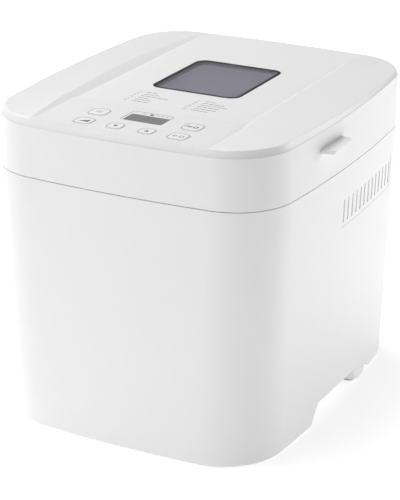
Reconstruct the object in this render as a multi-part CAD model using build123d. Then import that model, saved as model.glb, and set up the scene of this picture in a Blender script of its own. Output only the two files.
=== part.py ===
from build123d import *
from math import atan2, cos, radians, sin, tan
import os

# Bread machine in millimetres. +Z is up, the front faces -Y, and the lid hinges on the left, -X.
# The origin is on the table, under the middle of the machine.

# Casing outline: a rectangle with bowed sides and round corners, measured at the lid seam
SEAM_Z = 223.0
SEAM_GAP = 0.6
SKIRT_RISE = 1.5
CORNER_X = 125.4
CORNER_Y = 150.0
BOW_X = 9.5
BOW_Y = 7.2
CORNER_RADIUS = 52.0
FOOT_RADIUS = 56.0
TAPER_X = 5.8
TAPER_Y = 0.2
SHELL_WALL = 2.6
SKIRT_EDGE_RADIUS = 1.8
FOOT_THICK = 3.0
BASE_SCREWS = [(x, y) for x in (-106.0, 106.0) for y in (-130.0, 130.0)]
GLAND_X = -85.0
GLAND_Z = 45.0

# Lower edge of the skirt on each side, as (y, height) corners of what is cut away: the hand-hold arch,
# the leg behind it, a notch and the raised rear
SKIRT_CUT = [(-66.0, -5.0), (-66.0, 1.4), (-51.0, 1.4), (-40.0, 20.0), (39.5, 18.5), (47.6, 3.9), (61.0, 3.9),
             (65.1, 5.6), (67.2, 8.0), (70.0, 13.3), (71.3, 13.3), (76.6, 6.6), (79.0, 4.8), (170.0, 4.8),
             (170.0, -5.0)]
ARCH_CORNERS = slice(2, 6)
ARCH_ROUNDING = 7.0
LEG_IN = 103.0
LEG_GAP = 0.25

# Vent slots high on both sides of the body: each is a groove with a slit in the front of its floor
VENT_COUNT = 13
VENT_PITCH = 9.1
VENT_FIRST_Y = -10.0
VENT_LOW = SEAM_Z - 48.7
VENT_HIGH = SEAM_Z - 28.3
VENT_WIDTH = 2.8
VENT_GROOVE = 1.0
VENT_SLIT = 1.2
VENT_SLIT_SHIFT = 0.55
VENT_SLIT_MARGIN = 2.0
VENT_PANEL_DEPTH = 0.2
VENT_PANEL_MARGIN = 4.2

# Lid: a drafted wall that climbs to the back, a shoulder that leans in and narrows with it,
# and a domed top cut by a flat valley from front to back
LID_WALL_FRONT = SEAM_Z + 42.6
LID_WALL_BACK = SEAM_Z + 45.4
LID_WALL_DRAFT = 1.0
LID_STEP = 0.3
SHOULDER_LEAN = 0.5
SHOULDER_RISE = 18.0
RIM_INSET = 2.9
RIM_Z = SEAM_Z + 48.1
FLAT_Z = SEAM_Z + 48.0
DOME_RISE = 8.5
RIM_RADIUS = 0.9
VALLEY_HALF = 77.5
PANEL_HALF = 79.5
PANEL_FLARE_Y = (-81.0, -86.0)
VALLEY_SLOPE = 32.0
LID_SKIN = 2.6
SPIGOT_INSET = 3.9
SPIGOT_THICK = 2.2
SPIGOT_DEEP = 4.0
LINER_LOW = SEAM_Z + 1.2
LINER_LEDGE = LINER_LOW + 2.2
LID_BOSSES = [(x, y) for x in (-112.0, 112.0) for y in (-130.5, 130.5)]
TAB_ROOT_X = 131.0
TAB_TIP_X = 144.5
TAB_ROOT_Y = (-62.0, -19.5)
TAB_TIP_Y = (-59.0, -22.5)
TAB_LOW = SEAM_Z + 26.6
TAB_HIGH = SEAM_Z + 29.8

# Hinge on the left side
HINGE_X = -139.5
HINGE_Y = (-70.0, 70.0)
KNUCKLE_RADIUS = 5.0
LID_KNUCKLE = 20.0
BODY_KNUCKLE = 10.0
KNUCKLE_GAP = 0.4
BODY_WEB = 8.3
LID_WEB = 8.6
PIN_RADIUS = 1.5
PIN_PLAY = 0.05

# Window and control panel on the flat valley
WINDOW_X = 81.6
WINDOW_Y = 94.4
WINDOW_AT = (0.4, 21.2)
WINDOW_RADIUS = 10.0
WINDOW_GAP = 0.3
FASCIA_AT = (0.0, -120.3)
FASCIA_X = 154.6
FASCIA_Y = 72.0
FASCIA_FRONT_INSET = 6.0
FASCIA_DEEP = 1.2
FASCIA_PLAY = 0.1
CONTROL_POSTS = [(x, y) for x in (-66.0, 70.0) for y in (-138.0, -96.0)]
CONTROL_BOARD_Z = SEAM_Z + 36.0
CONTROL_BOARD_THICK = 1.6
DISPLAY_AT = (2.2, -107.7)
DISPLAY_X = 34.5
DISPLAY_Y = 16.5
KEY_GAP = 0.35
KEY_RADIUS = 4.8
KEY_PROUD = 0.35
KEY_DEEP = 6.0
KEYS = {
    "menu_key": (-40.4, -108.5, 16.0, 16.6),
    "loaf_key": (-39.5, -133.9, 15.8, 15.6),
    "minus_key": (-11.0, -134.2, 13.6, 13.8),
    "plus_key": (17.2, -134.4, 13.4, 13.6),
    "crust_key": (44.4, -108.9, 16.4, 16.8),
    "start_key": (45.1, -134.5, 16.4, 15.8),
}

# Oven chamber and the deck round its mouth
CHAMBER_AT = (0.0, 23.0)
CHAMBER_X = 194.0
CHAMBER_Y = 198.0
CHAMBER_FLOOR = 62.0
CHAMBER_SHEET = 1.2
CHAMBER_RADIUS = 24.0
DECK_TOP = SEAM_Z - 3.0
DECK_THICK = 2.5
DECK_LIP = 2.0
ELEMENT_Z = 78.0
ELEMENT_TAILS = (8.0, 36.0)
SENSOR_X = 48.0
SENSOR_Z = 118.0

# Drive: shaft under the pan, belt to a motor in the front compartment
DRIVE_AT = CHAMBER_AT
MOTOR_AT = (-45.0, -112.0)
SHAFT_RADIUS = 5.0
PULLEY_RADIUS = 48.0
PINION_RADIUS = 7.0
PULLEY_LOW = 34.0
PULLEY_HIGH = 47.0
BELT_THICK = 2.0
BELT_GAP = 0.25
RIB_COUNT = 3
RIB_PITCH = 2.8
RIB_WIDTH = 1.3
RIB_DEEP = 1.0
BASE_LOW = 22.0
BASE_TOP = 25.0
FRAME_LOW = 53.0
FRAME_TOP = 56.0
HUB_TOP = 71.5
MOTOR_RADIUS = 31.0
MOTOR_LOW = 62.0
MOTOR_HIGH = 122.0
BOARD_X = 74.0

# Bread pan and what turns in it
PAN_FLOOR = 84.0
PAN_RIM = 192.0
PAN_TOP_X = 140.0
PAN_TOP_Y = 160.0
PAN_TAPER = 12.0
PAN_RADIUS = 28.0
PAN_SHEET = 1.6
HANDLE_Z = 197.0
HANDLE_REACH = 58.0
HANDLE_WIRE = 2.5
HANDLE_END_Y = 82.9
HANDLE_ROOT_Y = 91.0
HANDLE_SHOULDER = 14.0
HANDLE_TOP_Y = 66.0
LUG_COUNT = 3
LUG_ANGLE = 14.0


# Shared shapes
def outline(z, inset_x=0.0, inset_y=None, radius=CORNER_RADIUS):
    """Plan of the casing at one height: four bowed sides with round corners."""
    x = CORNER_X - inset_x
    y = CORNER_Y - (inset_x if inset_y is None else inset_y)
    front = ThreePointArc((-x, -y), (0, -y - BOW_Y), (x, -y))
    right = ThreePointArc((x, -y), (x + BOW_X, 0), (x, y))
    back = ThreePointArc((x, y), (0, y + BOW_Y), (-x, y))
    left = ThreePointArc((-x, y), (-x - BOW_X, 0), (-x, -y))
    face = make_face([front, right, back, left])
    return Pos(0, 0, z) * fillet(face.vertices(), radius)


def slab(z_low, z_high, inset):
    """Upright slab that fills the casing outline, set in by the same amount all round."""
    return extrude(outline(z_low, inset, radius=CORNER_RADIUS - inset), z_high - z_low)


def block(size_x, size_y, z_low, z_high, radius, at=(0.0, 0.0)):
    """Upright block with round corners."""
    return extrude(Pos(at[0], at[1], z_low) * RectangleRounded(size_x, size_y, radius), z_high - z_low)


def disc(radius, z_low, z_high, at=(0.0, 0.0)):
    """Upright cylinder."""
    return extrude(Pos(at[0], at[1], z_low) * Circle(radius), z_high - z_low)


def ring(outer, inner, z_low, z_high, at=(0.0, 0.0)):
    """Upright tube."""
    return disc(outer, z_low, z_high, at) - disc(inner, z_low - 1, z_high + 1, at)


def rod_y(radius, x, z, y_low, y_high):
    """Cylinder lying along Y."""
    return extrude(Plane(origin=(x, y_low, z), z_dir=(0, 1, 0)) * Circle(radius), y_high - y_low)


def side_face(points):
    """Outline in (y, z) as a face on the middle plane."""
    return make_face(Polyline([(0, y, z) for y, z in points], close=True))


def sector(outer, inner, z_low, z_high, angle, width):
    """Part of a tube that spans an angle, centred on a direction."""
    half = radians(width / 2)
    reach = outer / cos(half)
    wedge = make_face(Polyline((0, 0), (reach * cos(half), -reach * sin(half)),
                               (reach * cos(half), reach * sin(half)), close=True))
    piece = extrude(Pos(0, 0, z_low) * wedge, z_high - z_low)
    piece = piece & ring(outer, inner, z_low, z_high)
    return Rot(0, 0, angle) * piece


def around(radius, count, start=0.0):
    """Points spaced evenly on a circle."""
    turns = [radians(start + 360 * i / count) for i in range(count)]
    return [(radius * cos(turn), radius * sin(turn)) for turn in turns]


def belt_hull(offset, z_low, z_high):
    """Solid bounded by a belt line round both pulleys, at an offset from them."""
    big = Pos(*DRIVE_AT, 0) * Circle(PULLEY_RADIUS + offset)
    small = Pos(*MOTOR_AT, 0) * Circle(PINION_RADIUS + offset)
    return extrude(Pos(0, 0, z_low) * make_hull([*big.edges(), *small.edges()]), z_high - z_low)


def rib_heights():
    """Lower edge of each belt rib."""
    middle = (PULLEY_LOW + PULLEY_HIGH) / 2
    return [middle + RIB_PITCH * (i - (RIB_COUNT - 1) / 2) - RIB_WIDTH / 2 for i in range(RIB_COUNT)]


def ribbed_wheel(radius, at):
    """Pulley rim with a groove for each belt rib and a flange at each end."""
    wheel = disc(radius, PULLEY_LOW, PULLEY_HIGH, at)
    for z in rib_heights():
        wheel -= ring(radius + 1, radius - RIB_DEEP - 0.3, z - 0.3, z + RIB_WIDTH + 0.3, at)
    for z in (PULLEY_LOW, PULLEY_HIGH - 1.2):
        wheel += disc(radius + BELT_THICK, z, z + 1.2, at)
    return wheel


# Body casing
def body_envelope():
    """Outer form of the body, tapering to the skirt."""
    low = outline(SKIRT_RISE, TAPER_X, TAPER_Y, FOOT_RADIUS)
    high = outline(SEAM_Z - SEAM_GAP / 2)
    solid = loft([low, high])
    return fillet(solid.faces().sort_by(Axis.Z)[0].edges(), SKIRT_EDGE_RADIUS)


def body_cavity(wall):
    """Space inside the body walls."""
    low = outline(SKIRT_RISE - 1, TAPER_X + wall, TAPER_Y + wall, FOOT_RADIUS - wall)
    return loft([low, outline(SEAM_Z + 1, wall, radius=CORNER_RADIUS - wall)])


def body_knuckles():
    """Outer knuckles of both hinges with the webs that tie them to the wall."""
    solids = []
    for y in HINGE_Y:
        for side in (-1, 1):
            near = y + side * (LID_KNUCKLE / 2 + KNUCKLE_GAP)
            low = min(near, near + side * BODY_KNUCKLE)
            web = Pos(HINGE_X, low, SEAM_Z - 9) * Box(BODY_WEB, BODY_KNUCKLE, 8.1, align=Align.MIN)
            knuckle = rod_y(KNUCKLE_RADIUS, HINGE_X, SEAM_Z, low, low + BODY_KNUCKLE)
            solids.append(knuckle + web)
    return solids


def pin_holes(play):
    """Bores of both hinges."""
    return [rod_y(PIN_RADIUS + play, HINGE_X, SEAM_Z, y - 30, y + 30) for y in HINGE_Y]


def vent_cutter(y, width, margin=0.0):
    """Upright slot through both sides of the body."""
    slot = Plane.YZ * SlotOverall(VENT_HIGH - VENT_LOW - 2 * margin, width, rotation=90)
    return extrude(Pos(0, y, (VENT_LOW + VENT_HIGH) / 2) * slot, 150, both=True)


def body_shell():
    """White moulded shell with deck ledge, screw bosses, vents, arches and hinge knuckles."""
    outside = body_envelope()
    shell = outside - body_cavity(SHELL_WALL)
    ledge = slab(DECK_TOP - DECK_THICK - 3.3, DECK_TOP - DECK_THICK, 1.5) - slab(200, 230, 7.0)
    bosses = [disc(6.0, BASE_TOP, BASE_TOP + 28, at) for at in BASE_SCREWS]
    shell += [ledge, *[boss & outside for boss in bosses]]
    shell -= [disc(2.0, BASE_TOP - 1, BASE_TOP + 20, at) for at in BASE_SCREWS]
    last_y = VENT_FIRST_Y + VENT_PITCH * (VENT_COUNT - 1)
    panel_y = last_y - VENT_FIRST_Y + 2 * VENT_PANEL_MARGIN
    panel_z = VENT_HIGH - VENT_LOW + 2 * VENT_PANEL_MARGIN
    panel = Pos(0, (VENT_FIRST_Y + last_y) / 2, (VENT_LOW + VENT_HIGH) / 2) * Box(300, panel_y, panel_z)
    shell -= panel - body_cavity(VENT_PANEL_DEPTH)
    groove_floor = body_cavity(VENT_GROOVE)
    for i in range(VENT_COUNT):
        y = VENT_FIRST_Y + i * VENT_PITCH
        shell -= vent_cutter(y, VENT_WIDTH) - groove_floor
        shell -= vent_cutter(y - VENT_SLIT_SHIFT, VENT_SLIT, VENT_SLIT_MARGIN)
    cut = side_face(SKIRT_CUT)
    cut = fillet(cut.vertices().sort_by(Axis.Y)[ARCH_CORNERS], ARCH_ROUNDING)
    shell -= extrude(cut, 150, both=True)
    shell -= rod_y(6.0, GLAND_X, GLAND_Z, 130, 170)
    shell += body_knuckles()
    return shell - pin_holes(0.0)


def foot_places():
    """Where the machine stands: in front of the arches and on the legs behind them."""
    return [(-100.0, -100.0), (100.0, -100.0), (-114.0, 57.0), (114.0, 57.0)]


def base_plate():
    """Floor of the body with a leg over each foot; the rear legs close the ends of the arches."""
    plan = outline(BASE_LOW, TAPER_X + 2.2, SHELL_WALL + 0.4, FOOT_RADIUS - 3)
    plate = extrude(plan, BASE_TOP - BASE_LOW)
    plate += [block(20, 16, FOOT_THICK, BASE_LOW, 3, at) for at in foot_places()[:2]]
    leg = side_face([(40.0, BASE_LOW), (48.0, FOOT_THICK), (66.0, FOOT_THICK), (66.0, BASE_LOW)])
    legs = extrude(leg, 150, both=True) & body_cavity(SHELL_WALL + LEG_GAP)
    plate += legs - Pos(0, 50, 10) * Box(2 * LEG_IN, 60, 40)
    cooling = Pos(MOTOR_AT[0], MOTOR_AT[1], BASE_LOW) * GridLocations(9, 22, 6, 2)
    plate -= [spot * extrude(SlotOverall(16, 3.5, rotation=90), 3) for spot in cooling]
    return plate - [disc(2.1, BASE_LOW, BASE_TOP, at) for at in BASE_SCREWS]


def rubber_feet():
    """Rubber pads under the legs: two round ones in front, two long ones behind."""
    pads = [disc(7.0, 0, FOOT_THICK, place) for place in foot_places()[:2]]
    pads += [block(19, 16, 0, FOOT_THICK, 5.5, place) for place in foot_places()[2:]]
    return Compound([fillet(pad.faces().sort_by(Axis.Z)[0].edges(), 0.8) for pad in pads])


def screws(places, z_head, shank_up, head_radius=3.8, shank_radius=1.9):
    """Pan-head screws driven upwards, heads at one height."""
    heads = [disc(head_radius, z_head - 2.2, z_head, at) for at in places]
    shanks = [disc(shank_radius, z_head, z_head + shank_up, at) for at in places]
    return Compound([head + shank for head, shank in zip(heads, shanks)])


def mains_gland():
    """Flanged bush where the mains lead would come in."""
    back_y = CORNER_Y + BOW_Y * (1 - (GLAND_X / CORNER_X) ** 2)
    flange = rod_y(9, GLAND_X, GLAND_Z, back_y - 1.5, back_y + 2.6) - body_envelope()
    bush = rod_y(5.9, GLAND_X, GLAND_Z, back_y - 14, back_y + 2.6)
    return flange + bush - rod_y(3.6, GLAND_X, GLAND_Z, back_y - 20, back_y + 9)


def top_deck():
    """Plate round the oven mouth, with a raised lip along the opening."""
    low = DECK_TOP - DECK_THICK
    deck = slab(low, DECK_TOP, SHELL_WALL + 0.2)
    deck += block(CHAMBER_X + 2, CHAMBER_Y + 2, DECK_TOP, DECK_TOP + DECK_LIP, CHAMBER_RADIUS, CHAMBER_AT)
    return deck - block(CHAMBER_X - 4, CHAMBER_Y - 4, low - 1, DECK_TOP + 9, CHAMBER_RADIUS - 2, CHAMBER_AT)


# Oven
def oven_chamber():
    """Open sheet-metal box with a turned-out flange under the deck."""
    high = DECK_TOP - DECK_THICK
    grow = 2 * CHAMBER_SHEET
    box = block(CHAMBER_X + grow, CHAMBER_Y + grow, CHAMBER_FLOOR, high, CHAMBER_RADIUS + 1, CHAMBER_AT)
    box += block(CHAMBER_X + 16, CHAMBER_Y + 16, high - 1.2, high, CHAMBER_RADIUS + 7, CHAMBER_AT)
    box -= block(CHAMBER_X, CHAMBER_Y, CHAMBER_FLOOR + CHAMBER_SHEET, high + 1, CHAMBER_RADIUS, CHAMBER_AT)
    box -= disc(16.0, CHAMBER_FLOOR - 1, CHAMBER_FLOOR + 5, CHAMBER_AT)
    front = CHAMBER_AT[1] - CHAMBER_Y / 2
    for x in ELEMENT_TAILS:
        box -= rod_y(5.0, x, ELEMENT_Z, front - 5, front + 5)
    return box - rod_y(3.1, SENSOR_X, SENSOR_Z, front - 5, front + 5)


def standoff_places():
    """Supports between the drive frame and the oven floor."""
    return [(x, y) for x in (-55.0, 55.0) for y in (-16.0, 72.0)]


def chamber_standoffs():
    return Compound([disc(5, FRAME_TOP, CHAMBER_FLOOR, at) for at in standoff_places()])


def heating_element():
    """Tubular element round the lower part of the oven, with both tails through the front wall."""
    x = CHAMBER_X / 2 - 11
    front = CHAMBER_AT[1] - CHAMBER_Y / 2
    back = CHAMBER_AT[1] + CHAMBER_Y / 2 - 10
    first, last = ELEMENT_TAILS
    route = [(last, front - 11), (last, front + 8), (x, front + 8), (x, back),
             (-x, back), (-x, front + 8), (first, front + 8), (first, front - 11)]
    path = FilletPolyline([(px, py, ELEMENT_Z) for px, py in route], radius=[6, 14, 14, 14, 14, 6])
    return sweep(Plane(origin=path @ 0, z_dir=path % 0) * Circle(3.2), path)


def element_bushes():
    """Ceramic bushes that carry the element tails through the oven wall."""
    front = CHAMBER_AT[1] - CHAMBER_Y / 2
    bushes = []
    for x in ELEMENT_TAILS:
        bush = rod_y(4.9, x, ELEMENT_Z, front - 5, front) + rod_y(7, x, ELEMENT_Z, front - 8, front - 1.3)
        bushes.append(bush - rod_y(3.25, x, ELEMENT_Z, front - 12, front + 4))
    return Compound(bushes)


def temperature_sensor():
    """Probe through the oven wall with its clip plate."""
    front = CHAMBER_AT[1] - CHAMBER_Y / 2
    probe = rod_y(3.0, SENSOR_X, SENSOR_Z, front - 12, front + 4)
    plate = Pos(SENSOR_X, front - 2.0, SENSOR_Z) * Box(22, 1.4, 12)
    return fillet(probe.edges().sort_by(Axis.Y)[-1:], 1.2) + plate


def pan_seat():
    """Bayonet ring on the oven floor: three hooks hold the lugs of the pan."""
    low = CHAMBER_FLOOR + CHAMBER_SHEET
    seat = ring(54, 30, low, low + 2.5) + ring(49, 46, low, 80)
    seat += [sector(47, 42.3, 77, 80, i * 360 / LUG_COUNT, LUG_ANGLE) for i in range(LUG_COUNT)]
    return Pos(*CHAMBER_AT, 0) * seat


# Drive
def post_places():
    """Pillars that carry the drive frame on the base."""
    return [(-72, -138), (-16, -140), (66, -28), (60, 84), (-60, 84), (-74, -20)]


def drive_frame():
    """Pressed plate that holds the bearing hub and the motor."""
    corners = [(-84, -149), (-4, -149), (12, -70), (78, -46), (74, 96), (-72, 96), (-86, -20)]
    face = make_face(Polyline(corners, close=True))
    plate = extrude(Pos(0, 0, FRAME_LOW) * fillet(face.vertices(), 12), FRAME_TOP - FRAME_LOW)
    plate += disc(15.5, FRAME_LOW - 3, HUB_TOP, DRIVE_AT)
    plate -= disc(9.0, FRAME_LOW - 5, HUB_TOP + 1, DRIVE_AT)
    plate -= disc(12.0, FRAME_LOW - 1, FRAME_TOP + 1, MOTOR_AT)
    window = Pos(-22, -44, FRAME_LOW) * RectangleRounded(40, 34, 8, rotation=72)
    return plate - extrude(window, FRAME_TOP - FRAME_LOW)


def frame_posts():
    return Compound([disc(4.5, BASE_TOP, FRAME_LOW, at) for at in post_places()])


def drive_bearing():
    """Flanged sintered bush in the hub."""
    bush = ring(9.0, SHAFT_RADIUS + 0.05, FRAME_LOW - 3, HUB_TOP, DRIVE_AT)
    return bush + ring(12.0, SHAFT_RADIUS + 0.05, FRAME_LOW - 4.2, FRAME_LOW - 3, DRIVE_AT)


def drive_belt():
    """Ribbed belt round both pulleys."""
    low = PULLEY_LOW + 1.6
    high = PULLEY_HIGH - 1.6
    belt = belt_hull(BELT_GAP + BELT_THICK, low, high) - belt_hull(BELT_GAP, low - 1, high + 1)
    for z in rib_heights():
        rib = belt_hull(BELT_GAP + 0.5, z, z + RIB_WIDTH) - belt_hull(-RIB_DEEP, z - 1, z + RIB_WIDTH + 1)
        belt += rib
    return belt


def drive_pulley():
    """Large pulley: ribbed rim, web with round openings, boss on the shaft."""
    wheel = ribbed_wheel(PULLEY_RADIUS, DRIVE_AT)
    wheel -= ring(PULLEY_RADIUS - 6, 11, PULLEY_LOW - 1, PULLEY_LOW + 4.5, DRIVE_AT)
    wheel -= ring(PULLEY_RADIUS - 6, 11, PULLEY_HIGH - 4.5, PULLEY_HIGH + 1, DRIVE_AT)
    for x, y in around(26, 6):
        wheel -= disc(8, PULLEY_LOW, PULLEY_HIGH, (DRIVE_AT[0] + x, DRIVE_AT[1] + y))
    return wheel - disc(SHAFT_RADIUS, PULLEY_LOW - 1, PULLEY_HIGH + 1, DRIVE_AT)


def drive_shaft():
    shaft = disc(SHAFT_RADIUS, PULLEY_LOW - 4, HUB_TOP + 4.5, DRIVE_AT)
    return shaft - ring(SHAFT_RADIUS + 1, SHAFT_RADIUS - 0.8, PULLEY_LOW - 2, PULLEY_LOW - 0.8, DRIVE_AT)


def drive_circlip():
    """Retaining ring under the pulley."""
    clip = ring(8.0, SHAFT_RADIUS - 0.8, PULLEY_LOW - 2, PULLEY_LOW - 0.8, DRIVE_AT)
    gap = Pos(DRIVE_AT[0], DRIVE_AT[1] - 8, PULLEY_LOW - 1.4) * Box(5, 10, 3)
    return clip - gap


def lower_coupling():
    """Dog disc on top of the drive shaft."""
    low = HUB_TOP + 0.5
    disc_part = ring(12.0, SHAFT_RADIUS, low, HUB_TOP + 4)
    dogs = [sector(11.6, SHAFT_RADIUS + 0.6, low, HUB_TOP + 8, a, 30) for a in (0, 180)]
    return Pos(*DRIVE_AT, 0) * (disc_part + dogs)


def motor_stator():
    """Laminated stack with four rounded sides, bored for the rotor."""
    stack = block(2 * MOTOR_RADIUS, 2 * MOTOR_RADIUS, MOTOR_LOW + 14, MOTOR_HIGH - 14, 12, MOTOR_AT)
    return stack - disc(16.0, MOTOR_LOW, MOTOR_HIGH, MOTOR_AT)


def motor_end_caps():
    """Cast covers at both ends of the stack, with windows for cooling air."""
    caps = []
    outer = 2 * MOTOR_RADIUS - 4
    inner = outer - 6
    for low, hollow_low in ((MOTOR_LOW, MOTOR_LOW + 3), (MOTOR_HIGH - 14, MOTOR_HIGH - 17)):
        high = low + 14
        cap = block(outer, outer, low, high, 11, MOTOR_AT)
        cap -= block(inner, inner, hollow_low, hollow_low + 14, 8, MOTOR_AT)
        cap -= disc(3.05, low - 1, high + 1, MOTOR_AT)
        cap -= [disc(4, low - 1, high + 1, (MOTOR_AT[0] + x, MOTOR_AT[1] + y)) for x, y in around(14, 6)]
        caps.append(cap)
    return Compound(caps)


def motor_mounts():
    """Rubber bushes between the motor and the frame."""
    return Compound([ring(5, 2, FRAME_TOP, MOTOR_LOW, (MOTOR_AT[0] + x, MOTOR_AT[1] + y))
                     for x, y in around(28, 4, 45)])


def motor_shaft():
    return disc(3.0, PULLEY_LOW - 2, MOTOR_HIGH + 14, MOTOR_AT)


def motor_rotor():
    """Squirrel-cage rotor on the motor shaft."""
    return ring(15.5, 3.0, MOTOR_LOW + 13, MOTOR_HIGH - 13, MOTOR_AT)


def motor_pulley():
    wheel = ribbed_wheel(PINION_RADIUS, MOTOR_AT)
    return wheel - disc(3.0, PULLEY_LOW - 1, PULLEY_HIGH + 1, MOTOR_AT)


def cooling_fan():
    """Radial fan on the upper end of the motor shaft."""
    low = MOTOR_HIGH + 2
    fan = ring(26, 3.0, low, low + 1.6)
    fan += ring(7, 3.0, low, low + 11)
    for i in range(9):
        blade = Pos(16, 0, low + 5.5) * Box(19.5, 1.4, 11)
        fan += Rot(0, 0, i * 40) * blade
    return Pos(*MOTOR_AT, 0) * fan


def motor_capacitor():
    """Run capacitor standing on the base beside the motor."""
    can = disc(14, BASE_TOP, BASE_TOP + 52, (-104, -92))
    can = fillet(can.edges().sort_by(Axis.Z)[-1:], 2.0)
    return can + [Pos(-104 + x, -92, BASE_TOP + 55) * Box(0.8, 6, 7) for x in (-5, 5)]


def board_carrier():
    """Plastic stand that holds the power board upright."""
    upright = (Align.CENTER, Align.CENTER, Align.MIN)
    back = Pos(BOARD_X, -92, BASE_TOP) * Box(78, 3, 120, align=upright)
    foot = Pos(BOARD_X, -98, BASE_TOP) * Box(78, 22, 3, align=upright)
    pegs = [rod_y(3, BOARD_X + x, z, -99, -93) for x in (-32, 32) for z in (40, 136)]
    return back + [foot, *pegs]


def power_board():
    """Mains board with its soldered relay, triac and connectors."""
    board = Pos(BOARD_X, -99.8, 88) * Box(72, 1.6, 108)
    parts = [((-20, -110, 60), (20, 18.8, 16)), ((22, -106, 56), (10, 10.8, 22)),
             ((-18, -105, 128), (26, 8.8, 9)), ((20, -105, 128), (22, 8.8, 9))]
    return board + [Pos(BOARD_X + x, y, z) * Box(*size) for (x, y, z), size in parts]


def mains_transformer():
    """Small transformer on the mains board: core with a bobbin through it."""
    core = Pos(BOARD_X, -118, 94) * Box(36, 22, 30)
    bobbin = Pos(BOARD_X, -115, 94) * Box(24, 28.8, 36)
    return core + bobbin


def hinge_pins():
    reach = LID_KNUCKLE / 2 + KNUCKLE_GAP + BODY_KNUCKLE
    return Compound([rod_y(PIN_RADIUS, HINGE_X, SEAM_Z, y - reach, y + reach) for y in HINGE_Y])


# Pan
def pan_form(inset, z_low, z_high):
    """Tapered pan volume with round corners, set in from the outer face."""
    def plan(z):
        shrink = PAN_TAPER * (PAN_RIM - z) / (PAN_RIM - PAN_FLOOR) + 2 * inset
        plate = RectangleRounded(PAN_TOP_X - shrink, PAN_TOP_Y - shrink, PAN_RADIUS - inset)
        return Pos(*CHAMBER_AT, z) * plate
    return loft([plan(z_low), plan(z_high)])


def bread_pan():
    """Coated pan with a rolled rim and a bore for its bush."""
    pan = pan_form(0, PAN_FLOOR, PAN_RIM)
    low_edge = pan.faces().sort_by(Axis.Z)[0].edges()
    pan = fillet(low_edge, 8.0)
    rim = block(PAN_TOP_X + 6, PAN_TOP_Y + 6, PAN_RIM - 3.2, PAN_RIM, PAN_RADIUS + 3, CHAMBER_AT)
    rim = fillet(rim.faces().sort_by(Axis.Z)[-1].edges(), 1.5)
    hollow = pan_form(PAN_SHEET, PAN_FLOOR + 2.4, PAN_RIM + 1)
    hollow = fillet(hollow.faces().sort_by(Axis.Z)[0].edges(), 6.5)
    return pan + rim - hollow - disc(8.0, PAN_FLOOR - 1, PAN_FLOOR + 5, CHAMBER_AT)


def pan_base_ring():
    """Skirt under the pan with the lugs that lock into the seat."""
    skirt = ring(41.8, 38.8, 69, PAN_FLOOR) + ring(46, 38.8, 80.3, PAN_FLOOR)
    skirt += [sector(45.4, 40, 71, 76.4, i * 360 / LUG_COUNT, LUG_ANGLE) for i in range(LUG_COUNT)]
    return Pos(*CHAMBER_AT, 0) * skirt


def pan_bush():
    """Flanged bush that seals the shaft through the pan floor."""
    bush = ring(8.0, 4.05, PAN_FLOOR - 1.0, PAN_FLOOR + 7, CHAMBER_AT)
    return bush + ring(11.0, 4.05, PAN_FLOOR - 1.0, PAN_FLOOR, CHAMBER_AT)


def handle_pivots():
    """Ears riveted to both ends of the pan."""
    ears = []
    for side in (-1, 1):
        plate = Pos(0, 84.4, 188) * Box(16, 2.4, 30)
        plate = fillet(plate.edges().filter_by(Axis.Y).sort_by(Axis.Z)[-2:], 7)
        plate += Pos(0, 82, 180) * Box(16, 4.8, 14)
        plate -= rod_y(HANDLE_WIRE + 0.1, 0, HANDLE_Z, 70, 100)
        ear = plate if side > 0 else mirror(plate, Plane.XZ)
        ears.append(Pos(*CHAMBER_AT, 0) * ear - pan_form(0, PAN_FLOOR, PAN_RIM))
    return Compound(ears)


def pan_handle():
    """Wire bail, folded down over the rim towards the right."""
    half = [(0, HANDLE_END_Y), (0, HANDLE_ROOT_Y), (HANDLE_SHOULDER, HANDLE_ROOT_Y),
            (HANDLE_REACH, HANDLE_TOP_Y)]
    route = half + [(x, -y) for x, y in reversed(half)]
    bends = [2.8, 8, 12, 12, 8, 2.8]
    path = FilletPolyline([(x, y + CHAMBER_AT[1], HANDLE_Z) for x, y in route], radius=bends)
    return sweep(Plane(origin=path @ 0, z_dir=path % 0) * Circle(HANDLE_WIRE), path)


def pan_shaft():
    shaft = disc(4.0, 77.5, 117, CHAMBER_AT)
    flat = Pos(CHAMBER_AT[0] + 5, CHAMBER_AT[1], 107) * Box(4, 12, 24)
    return shaft - flat


def upper_coupling():
    """Dog disc under the pan, a quarter turn away from the lower dogs."""
    plate = ring(12.0, 4.0, 80, 82.5)
    dogs = [sector(11.6, SHAFT_RADIUS + 0.6, 76, 82.5, a, 30) for a in (90, 270)]
    return Pos(*CHAMBER_AT, 0) * (plate + dogs)


def pan_circlip():
    """Retaining ring above the pan bush."""
    clip = ring(6.5, 4.0, PAN_FLOOR + 7.2, PAN_FLOOR + 8.2, CHAMBER_AT)
    return clip - Pos(CHAMBER_AT[0], CHAMBER_AT[1] - 6, PAN_FLOOR + 7.7) * Box(4, 8, 2)


def kneading_paddle():
    """Cast paddle: hub on the shaft flat and one raked blade."""
    hub = loft([Pos(0, 0, 92.6) * Circle(10), Pos(0, 0, 118) * Circle(7.5)])
    hub = fillet(hub.faces().sort_by(Axis.Z)[-1].edges(), 1.5)
    foot = make_face(Polyline((3, -4.5), (38, -2), (38, 2), (3, 4.5), close=True))
    crest = make_face(Polyline((3, -2), (24, -1.2), (24, 1.2), (3, 2), close=True))
    blade = loft([Pos(0, 0, 89.5) * foot, Pos(0, 2.5, 115) * crest]) - disc(9.5, 80, 92.6)
    bore = disc(4.0, 90, 117) - Pos(5, 0, 107) * Box(4, 12, 24)
    return Pos(*CHAMBER_AT, 0) * (hub + blade - bore)


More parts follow.
